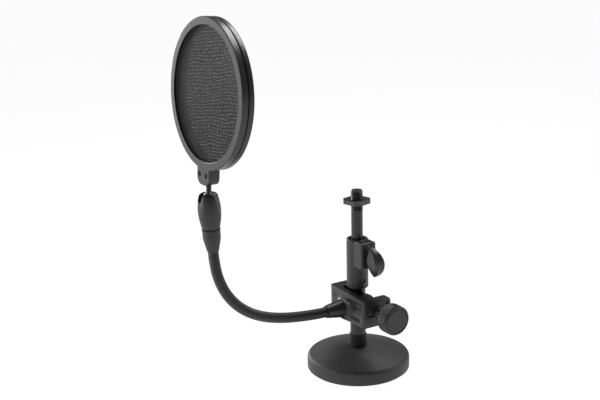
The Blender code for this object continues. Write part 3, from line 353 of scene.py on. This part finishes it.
# %% Floor
floor_mesh = bpy.data.meshes.new("floor")
floor_mesh.from_pydata([(-8, -8, 0), (8, -8, 0), (8, 8, 0), (-8, 8, 0)], [], [(0, 1, 2, 3)])
floor = bpy.data.objects.new("floor", floor_mesh)
bpy.context.collection.objects.link(floor)
paper = bpy.data.materials.new("pale_floor")
paper.use_nodes = True
sheet_shader = paper.node_tree.nodes["Principled BSDF"]
sheet_shader.inputs["Base Color"].default_value = (0.08, 0.08, 0.08, 1)
sheet_shader.inputs["Roughness"].default_value = 0.9
sheet_shader.inputs["Specular IOR Level"].default_value = 0.0
sheet_shader.inputs["Emission Color"].default_value = (1, 1, 1, 1)
sheet_shader.inputs["Emission Strength"].default_value = 0.96
floor_mesh.materials.append(paper)


# %% Finished pieces
def done(obj, material, body=None, nodes=()):
    """Gives a piece its finish and the body it rides on, and hides the CAD nodes that it stands for."""
    obj.data.materials.clear()
    obj.data.materials.append(material)
    if nodes:
        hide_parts(*nodes)
    if body:
        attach(obj, body)
    print(obj.name, "faces:", len(obj.data.polygons))
    return obj


# %% [markdown]
# ## Gooseneck
# A gooseneck is a steel coil in a thin black sleeve, so its skin shows a fine spiral rib. Its middle line
# is a curve whose heading changes smoothly, so the line is the running sum of that heading. The skin is
# that line plus a circle whose radius dips along a helix. Each length of skin reaches from the middle of
# one link to the middle of the next, curving with the line across the hinge between them, so no joint shows.

# %% Gooseneck line
LINK = 21.6 * MM
HEADINGS = np.radians([1, 5, 8, 14, 23, 36, 51, 66, 80, 87.4])
SNOUT = (-43.5 * MM, 76.9 * MM)
NECK_RADIUS = 5.85 * MM
SOCKET_RADIUS = 9.6 * MM
RIB_PITCH = 2.3 * MM
RIB_DEPTH = 0.36 * MM
COUNT = len(HEADINGS) - 1
fine = np.arange(-140, COUNT * 216 + 101) * 0.1 * MM
heading = np.interp(fine, np.arange(COUNT + 1) * LINK, HEADINGS)
step = np.concatenate([[0], np.diff(fine)])
middle_heading = (heading + np.concatenate([[heading[0]], heading[:-1]])) / 2
line_y = np.cumsum(-np.cos(middle_heading) * step)
line_z = np.cumsum(np.sin(middle_heading) * step)
origin = np.argmin(np.abs(fine))
line_y += SNOUT[0] - line_y[origin]
line_z += SNOUT[1] - line_z[origin]
NECK_END = (line_y[np.argmin(np.abs(fine - COUNT * LINK))], line_z[np.argmin(np.abs(fine - COUNT * LINK))])
print("gooseneck ends at y, z:", [round(x * 1000, 1) for x in NECK_END])


def sleeve(name, start, stop, sides=36):
    """Middle line plus r (cos a X + sin a N); N is the bend's normal and r = R - depth ((1 + cos p) / 2)^3, with
    p = 2 pi s / pitch - a, a helix."""
    s = np.linspace(start, stop, int((stop - start) / (0.26 * MM)) + 1)
    h = np.interp(s, fine, heading)
    middle = np.stack([np.zeros_like(s), np.interp(s, fine, line_y), np.interp(s, fine, line_z)], axis=-1)
    normal = np.stack([np.zeros_like(s), np.sin(h), np.cos(h)], axis=-1)
    angle = np.linspace(0, 2 * np.pi, sides, endpoint=False)
    phase = 2 * np.pi * s[:, None] / RIB_PITCH - angle
    radius = NECK_RADIUS - RIB_DEPTH * ((1 + np.cos(phase)) / 2) ** 3
    side = radius[..., None] * (np.cos(angle)[None, :, None] * np.array([1.0, 0, 0])
                                + np.sin(angle)[None, :, None] * normal[:, None, :])
    return skin(name, middle[:, None, :] + side), middle[0], middle[-1]


# %% Gooseneck lengths
LINKS = ["clamp"] + [f"goose_{k}" for k in range(2, COUNT)] + ["neck"]
first, _, _ = sleeve("gooseneck_root", -14 * MM, 0.5 * LINK)
done(first, SLEEVE, LINKS[0], ["gooseneck_1"])
for k in range(1, COUNT):
    length, begin, finish_point = sleeve(f"gooseneck_length_{k}", (k - 0.5) * LINK, (k + 0.5) * LINK)
    done(length, SLEEVE, None, [f"gooseneck_{k + 1}"])
    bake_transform(length)
last, _, _ = sleeve("gooseneck_tip", (COUNT - 0.5) * LINK, COUNT * LINK + 10 * MM)
done(last, SLEEVE, LINKS[-1])

# %% [markdown]
# ## Threads
# The rod's top, the ball's stud and the clamp screw are threaded. A thread is a cylinder whose radius
# follows a triangle wave along the axis, and the wave is shifted by one pitch per turn. The wave fades
# out at each end, as a cut thread does.


# %% Thread
def threaded(name, stations, pitch, depth, sides=40, place=None, fade=0.6 * MM):
    """Turned bar through (radius, height, threaded 0 or 1) stations; the radius is lowered by depth times the
    triangle wave of height / pitch - angle / 2 pi where the station is threaded."""
    table = np.asarray(stations, float)
    heights = table[:, 1]
    along = np.concatenate([np.linspace(a, b, max(2, int(abs(b - a) / (pitch / 8)) + 1))
                            + np.zeros(1) for a, b in zip(heights[:-1], heights[1:])])
    share = np.concatenate([np.linspace(i, i + 1, max(2, int(abs(b - a) / (pitch / 8)) + 1))
                            for i, (a, b) in enumerate(zip(heights[:-1], heights[1:]))])
    radius = np.interp(share, np.arange(len(table)), table[:, 0])
    cut = np.interp(share, np.arange(len(table)), table[:, 2])
    angle = np.linspace(0, 2 * np.pi, sides, endpoint=False)
    turn = along[:, None] / pitch - angle / (2 * np.pi)
    wave = np.abs(2 * (turn - np.floor(turn)) - 1)
    wave = np.clip(wave * 1.25 - 0.1, 0, 1)
    r = np.maximum(radius[:, None] - depth * wave * cut[:, None], 0)
    points = np.stack([r * np.cos(angle), r * np.sin(angle), along[:, None] * np.ones(sides)], axis=-1)
    return skin(name, put(points, place))


# %% Rod thread
low, high = (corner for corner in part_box("rod_thread"))
thread_radius = (high[0] - low[0]) / 2
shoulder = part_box("upper_rod")[1][2]
rod_thread = threaded("rod_thread_cut", [
    (0, low[2], 0), (4.6 * MM, low[2] + 0.01 * MM, 0), (4.6 * MM, shoulder + 0.3 * MM, 0),
    (thread_radius - 0.3 * MM, shoulder + 0.31 * MM, 0), (thread_radius, shoulder + 1.4 * MM, 0),
    (thread_radius, shoulder + 2.0 * MM, 1), (thread_radius, high[2] - 1.0 * MM, 1),
    (thread_radius - 0.9 * MM, high[2] - 0.01 * MM, 0), (0, high[2], 0)], 1.27 * MM, 0.62 * MM, 48)
done(rod_thread, BLACK_STEEL, "rod", ["rod_thread"])

# %% Stud and ball
tilt = next(j for j in frame["record"]["behaviour"]["joints"] if j["name"] == "ball_tilt")
turn = next(j for j in frame["record"]["behaviour"]["joints"] if j["name"] == "hoop_turn")
BALL = Vector(tilt["pos_m"])
HOOP_UP = Vector(turn["axis"]).normalized()
HOOP_LEFT = Vector((1, 0, 0))
HOOP_FRONT = HOOP_LEFT.cross(HOOP_UP)
STUD_PLACE = Matrix((HOOP_LEFT, HOOP_UP.cross(HOOP_LEFT), HOOP_UP)).transposed().to_4x4()
STUD_PLACE.translation = BALL
BALL_RADIUS = 6 * MM
SHANK = 3.15 * MM
polar = np.linspace(0, math.pi - math.asin(SHANK / BALL_RADIUS), 24)
ball_profile = np.stack([BALL_RADIUS * np.sin(polar), -BALL_RADIUS * np.cos(polar), np.zeros(24)], axis=-1)
shank_start = ball_profile[-1, 1]
stud = threaded("ball_stud_cut", [*ball_profile.tolist(), (SHANK - 0.35 * MM, shank_start + 0.2 * MM, 0),
                                  (SHANK, shank_start + 0.8 * MM, 1), (SHANK, 22.6 * MM, 1),
                                  (SHANK - 0.4 * MM, 23.2 * MM, 0), (0, 23.21 * MM, 0)],
                1.0 * MM, 0.5 * MM, 36, STUD_PLACE)
done(stud, STUD_STEEL, "ball", ["ball_stud"])

# %% Clamp screw
screw_low, screw_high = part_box("clamp_screw")
screw_axis = Vector((0, 0, (screw_low[2] + screw_high[2]) / 2))
SCREW_PLACE = Matrix.Translation(screw_axis) @ ALONG_X
clamp_screw = threaded("clamp_screw_cut", [
    (0, screw_low[0], 0), (3.4 * MM, screw_low[0] + 0.01 * MM, 0), (4.0 * MM, screw_low[0] + 0.8 * MM, 0),
    (4.0 * MM, screw_low[0] + 6 * MM, 0), (4.0 * MM, screw_low[0] + 7 * MM, 1), (4.0 * MM, 57 * MM, 1),
    (4.0 * MM, 58 * MM, 0), (4.0 * MM, screw_high[0] - 0.01 * MM, 0), (0, screw_high[0], 0)],
    1.25 * MM, 0.6 * MM, 40, SCREW_PLACE)
done(clamp_screw, BLACK_STEEL, "clamp_screw", ["clamp_screw"])

# %% [markdown]
# ## Clamp knob
# The knob's rim has fine straight ribs for grip. The profile is turned about the screw, and the radius of
# the rim's stations dips at each rib with the cosine of the angle times the number of ribs. The ribs fade
# towards the rounded edges, and the face is a flat cap in a shallow recess.


# %% Knob
KNOB_RIBS = 54
knob_corners = [(0, 67.3), (4.3, 67.3), (4.3, 57.0), (8.0, 57.0), (8.6, 60.4), (14.6, 60.4), (16.8, 62.2),
                (16.8, 75.0), (15.2, 76.6), (13.5, 76.6), (13.5, 75.3), (0, 75.3)]
knob_profile = soften(np.array(knob_corners) * MM, 0.55 * MM, 5, closed=False)
knob_sides = KNOB_RIBS * 6
knob_angle = np.linspace(0, 2 * np.pi, knob_sides, endpoint=False)
on_rim = np.clip((knob_profile[:, 0] - 15.5 * MM) / (0.9 * MM), 0, 1)
dip = 0.6 * MM * on_rim[:, None] * ((1 + np.cos(KNOB_RIBS * knob_angle)) / 2) ** 2
knob_radius = knob_profile[:, 0][:, None] - dip
knob_grid = np.stack([knob_radius * np.cos(knob_angle), knob_radius * np.sin(knob_angle),
                      knob_profile[:, 1][:, None] * np.ones(knob_sides)], axis=-1)
knob = skin("clamp_knob_ribbed", put(knob_grid, SCREW_PLACE))
done(knob, MOULDED, "clamp_screw", ["clamp_knob"])

# %% [markdown]
# ## Base
# The base is a disc cast in iron with a straight side, a rounded rim and a shallow dome that carries the
# eye up to the tube. The profile is three stretches: the side, a quarter circle for the rim, and half a
# cosine wave for the dome, turned about the tube.

# %% Base casting
base_low, base_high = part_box("base_casting")
BASE_RADIUS = (base_high[0] - base_low[0]) / 2
side_top = 13.5 * MM
rim = 5.0 * MM
quarter = np.radians(np.linspace(0, 80, 12))
rim_curve = np.stack([BASE_RADIUS - rim + rim * np.cos(quarter), side_top + rim * np.sin(quarter)], axis=-1)
across = np.linspace(0, 1, 24)[1:]
dome_foot, dome_start = 12 * MM, rim_curve[-1]
dome = np.stack([dome_start[0] + (dome_foot - dome_start[0]) * across,
                 dome_start[1] + (base_high[2] - dome_start[1]) * np.sin(across * np.pi / 2)], axis=-1)
under = np.array([(5.2, 12.5), (14.0, 12.5), (14.0, 1.8)]) * MM
edge_low = np.array([(BASE_RADIUS - 1.0 * MM, base_low[2]), (BASE_RADIUS - 0.3 * MM, base_low[2] + 0.3 * MM),
                     (BASE_RADIUS, base_low[2] + 1.0 * MM)])
inner_top = np.array([(5.2 * MM, base_high[2])])
base_profile = np.concatenate([under, edge_low, rim_curve, dome, inner_top])
base = skin("base_casting_turned", around(base_profile, 160), wrap_rows=True)
done(base, CAST_PAINT, "stand", ["base_casting"])

# %% [markdown]
# ## Hoop
# Two moulded half hoops clip together, and a groove shows between them. The rear half is a closed profile
# turned about the hoop's axis, its corners softened so that each edge catches a thin line of light. The
# front half keeps its engineering shape, because its tongue is part of it, and gets only a finer edge.

# %% Hoop frame
BALL_TO_CENTRE = 108.2 * MM
STUD_OFFSET = 0.5 * MM
HOOP_CENTRE = BALL + HOOP_UP * BALL_TO_CENTRE - HOOP_FRONT * STUD_OFFSET
HOOP_PLACE = Matrix((HOOP_LEFT, HOOP_UP, HOOP_FRONT)).transposed().to_4x4()
HOOP_PLACE.translation = HOOP_CENTRE
rear_corners = [(69.7, -5.65), (74.0, -5.65), (74.0, -1.25), (77.7, -1.25), (77.7, -7.25), (69.7, -7.25)]
rear_profile = soften(np.array(rear_corners) * MM, np.array([0.3, 0.3, 0.2, 0.5, 1.3, 0.6]) * MM, 5)
rear = skin("hoop_rear_turned", around(rear_profile, 192, HOOP_PLACE), wrap_rows=True)
done(rear, HOOP_PLASTIC, "hoop", ["hoop_rear"])


# %% Softened copies
def softened(node, name, width, segments=3, angle=35):
    """A merged copy of an engineering node with its sharp edges rounded by a Bevel modifier."""
    copy = NODES[node].copy()
    copy.data = NODES[node].data.copy()
    for key in list(copy.keys()):
        del copy[key]
    copy.parent = None
    copy.name = name
    copy.data.name = name
    bpy.context.collection.objects.link(copy)
    bm = bmesh.new()
    bm.from_mesh(copy.data)
    bmesh.ops.remove_doubles(bm, verts=bm.verts, dist=0.00002)
    bmesh.ops.dissolve_limit(bm, angle_limit=math.radians(0.5), verts=bm.verts, edges=bm.edges)
    bm.to_mesh(copy.data)
    bm.free()
    for mod in list(copy.modifiers):
        copy.modifiers.remove(mod)
    bevel = copy.modifiers.new("soft edges", "BEVEL")
    bevel.width = width
    bevel.segments = segments
    bevel.limit_method = "ANGLE"
    bevel.angle_limit = math.radians(angle)
    even = copy.modifiers.new("flat faces stay flat", "WEIGHTED_NORMAL")
    even.keep_sharp = True
    copy.data.shade_smooth()
    copy.data.set_sharp_from_angle(angle=math.radians(angle))
    return copy


for node, width, body in (("hoop_front", 0.35, "hoop"), ("boss_block", 0.8, "hoop"), ("clamp_frame", 1.3, "clamp"),
                          ("clutch_body", 0.45, "stand"), ("thumb_wing", 0.5, "thumb")):
    slot = SLOTS[node]
    done(softened(node, node + "_soft", width * MM), FINISHES[slot], body, [node])

# %% [markdown]
# ## Clamp web
# The clamp's front wall isn't a flat panel: it is dished between soft borders and sweeps out round the
# socket that holds the gooseneck. It is a height field over the wall: the dish fades in with a smooth step
# of the distance to the nearest border, and the sweep dies away with the distance from the socket.

# %% Front web
clamp_low, clamp_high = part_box("clamp_frame")
FRONT = -20.5 * MM
wide = np.linspace(clamp_low[0] + 3.6 * MM, clamp_high[0] - 1.6 * MM, 120)
share = np.linspace(0, 1, 60)[:, None]
lower_line = clamp_low[2] + 1.2 * MM + np.maximum(0, 9 * MM * (1 - (wide - clamp_low[0]) / (27 * MM)))
upper_line = clamp_high[2] - 1.4 * MM - 2 * MM * (wide - clamp_low[0]) / (clamp_high[0] - clamp_low[0])
X = wide + 0 * share
Z = lower_line + share * (upper_line - lower_line)
edge = np.minimum(np.minimum(X - wide[0], wide[-1] - X), np.minimum(Z - lower_line, upper_line - Z))
blend = np.clip((edge - 4.2 * MM) / (5.5 * MM), 0, 1)
dish = blend * blend * (3 - 2 * blend)
from_socket = np.maximum(np.hypot(X, Z - SNOUT[1]) - SOCKET_RADIUS, 0)
sweep = 4.2 * MM * np.exp(-(from_socket / (3.6 * MM)) ** 1.3)
lower_left = 1.5 * MM * np.exp(-((X - wide[0]) / (9 * MM)) ** 2 - ((Z - lower_line[0]) / (9 * MM)) ** 2)
rim_roll = 1.4 * MM * (1 - np.clip(edge / (1.6 * MM), 0, 1)) ** 2
outer = FRONT - 0.4 * MM + 1.7 * MM * dish - sweep - lower_left + rim_roll
inner = np.full_like(outer, FRONT + 3.0 * MM)
sheet_front = np.stack([X, outer, Z], axis=-1)
sheet_back = np.stack([X, inner, Z], axis=-1)
loop = np.concatenate([sheet_front, sheet_back[:, ::-1]], axis=1)
web = skin("clamp_web", loop)
done(web, MOULDED, "clamp")

# %% [markdown]
# ## Screens
# Each screen is a nylon cloth stretched flat and clamped at its rim. Its weave is far finer than a mesh
# could carry in reasonable size, so the cloth is a flat disc and the weave is a shader: two sets of
# threads, each opaque where the distance to its middle line is less than half its width. The gaps between
# threads are clear, so the two screens seen through each other make the shimmer that real ones do.


# %% Weave group
def weave_group():
    """Opaque where either thread set is; height follows the round back of whichever thread is on top. The threads
    wander a little, so the two cloths never line up over a wide stretch."""
    tree, start, end = group("nylon_weave", [
        ("Vector", "Vector", (0, 0, 0)), ("Pitch", "Float", 0.0005), ("Cover", "Float", 0.6),
        ("Thread depth", "Float", 0.00008)], [("Alpha", "Float"), ("Normal", "Vector")])
    wander = tree.nodes.new("ShaderNodeTexNoise")
    wander.inputs["Scale"].default_value = 26.0
    wander.inputs["Detail"].default_value = 1.0
    tree.links.new(start.outputs["Vector"], wander.inputs["Vector"])
    centred = tree.nodes.new("ShaderNodeVectorMath")
    centred.operation = "SUBTRACT"
    tree.links.new(wander.outputs["Color"], centred.inputs[0])
    centred.inputs[1].default_value = (0.5, 0.5, 0.5)
    shift = tree.nodes.new("ShaderNodeVectorMath")
    shift.operation = "MULTIPLY_ADD"
    tree.links.new(centred.outputs[0], shift.inputs[0])
    shift.inputs[1].default_value = (0.0009, 0.0009, 0.0009)
    tree.links.new(start.outputs["Vector"], shift.inputs[2])
    split = tree.nodes.new("ShaderNodeSeparateXYZ")
    tree.links.new(shift.outputs[0], split.inputs[0])
    masks, backs, cells = [], [], []
    for axis in ("X", "Z"):
        place = calc(tree, "DIVIDE", split.outputs[axis], start.outputs["Pitch"])
        away = calc(tree, "ABSOLUTE", calc(tree, "SUBTRACT", calc(tree, "FRACT", place), 0.5))
        share = calc(tree, "DIVIDE", calc(tree, "MULTIPLY", away, 2.0), start.outputs["Cover"])
        masks.append(calc(tree, "LESS_THAN", share, 1.0))
        backs.append(calc(tree, "SQRT", calc(tree, "SUBTRACT", 1.0, calc(tree, "MULTIPLY", share, share), clamp=True)))
        cells.append(calc(tree, "FLOOR", place))
    over = calc(tree, "FLOORED_MODULO", calc(tree, "ADD", cells[0], cells[1]), 2.0)
    first = calc(tree, "MULTIPLY", backs[0], calc(tree, "ADD", 0.6, calc(tree, "MULTIPLY", over, 0.4)))
    under = calc(tree, "SUBTRACT", 1.0, over)
    second = calc(tree, "MULTIPLY", backs[1], calc(tree, "ADD", 0.6, calc(tree, "MULTIPLY", under, 0.4)))
    height = calc(tree, "MULTIPLY", calc(tree, "MAXIMUM", first, second), start.outputs["Thread depth"])
    bump = tree.nodes.new("ShaderNodeBump")
    bump.inputs["Strength"].default_value = 1.0
    bump.inputs["Distance"].default_value = 1.0
    tree.links.new(height, bump.inputs["Height"])
    tree.links.new(calc(tree, "MAXIMUM", masks[0], masks[1]), end.inputs["Alpha"])
    tree.links.new(bump.outputs["Normal"], end.inputs["Normal"])
    return tree


WEAVE = weave_group()


def cloth_finish(name, turn_degrees):
    """Black nylon weave in the hoop's plane; the cloth is cut a few degrees off square."""
    mat = bpy.data.materials.new(name)
    mat.use_nodes = True
    tree = mat.node_tree
    shader = tree.nodes["Principled BSDF"]
    shader.inputs["Base Color"].default_value = (0.006, 0.006, 0.007, 1)
    shader.inputs["Roughness"].default_value = 0.55
    shader.inputs["Specular IOR Level"].default_value = 0.12
    where = tree.nodes.new("ShaderNodeTexCoord")
    flat = tree.nodes.new("ShaderNodeMapping")
    flat.inputs["Rotation"].default_value = (math.radians(4), math.radians(turn_degrees), 0)
    tree.links.new(where.outputs["Object"], flat.inputs["Vector"])
    weave = tree.nodes.new("ShaderNodeGroup")
    weave.node_tree = WEAVE
    weave.inputs["Pitch"].default_value = 0.00044
    weave.inputs["Cover"].default_value = 0.655
    tree.links.new(flat.outputs["Vector"], weave.inputs["Vector"])
    tree.links.new(weave.outputs["Alpha"], shader.inputs["Alpha"])
    tree.links.new(weave.outputs["Normal"], shader.inputs["Normal"])
    return mat


# %% Screens
SCREEN_RADIUS = 73.6 * MM
SCREEN_PLANE = 5.2 * MM
ring = np.linspace(0, 1, 14)[:, None]
spoke = np.linspace(0, 2 * np.pi, 120, endpoint=False)
for name, height, off_square in (("front", SCREEN_PLANE, 3.7), ("rear", -SCREEN_PLANE, -3.5)):
    disc = np.stack([SCREEN_RADIUS * ring * np.cos(spoke), SCREEN_RADIUS * ring * np.sin(spoke),
                     np.full((14, 120), height)], axis=-1)
    screen = skin(f"screen_{name}_cloth", put(disc, HOOP_PLACE))
    bm = bmesh.new()
    bm.from_mesh(screen.data)
    bmesh.ops.delete(bm, geom=[f for f in bm.faces if len(f.verts) > 4], context="FACES_ONLY")
    bm.to_mesh(screen.data)
    bm.free()
    done(screen, cloth_finish(f"nylon_cloth_{name}", off_square), "hoop", [f"screen_{name}"])
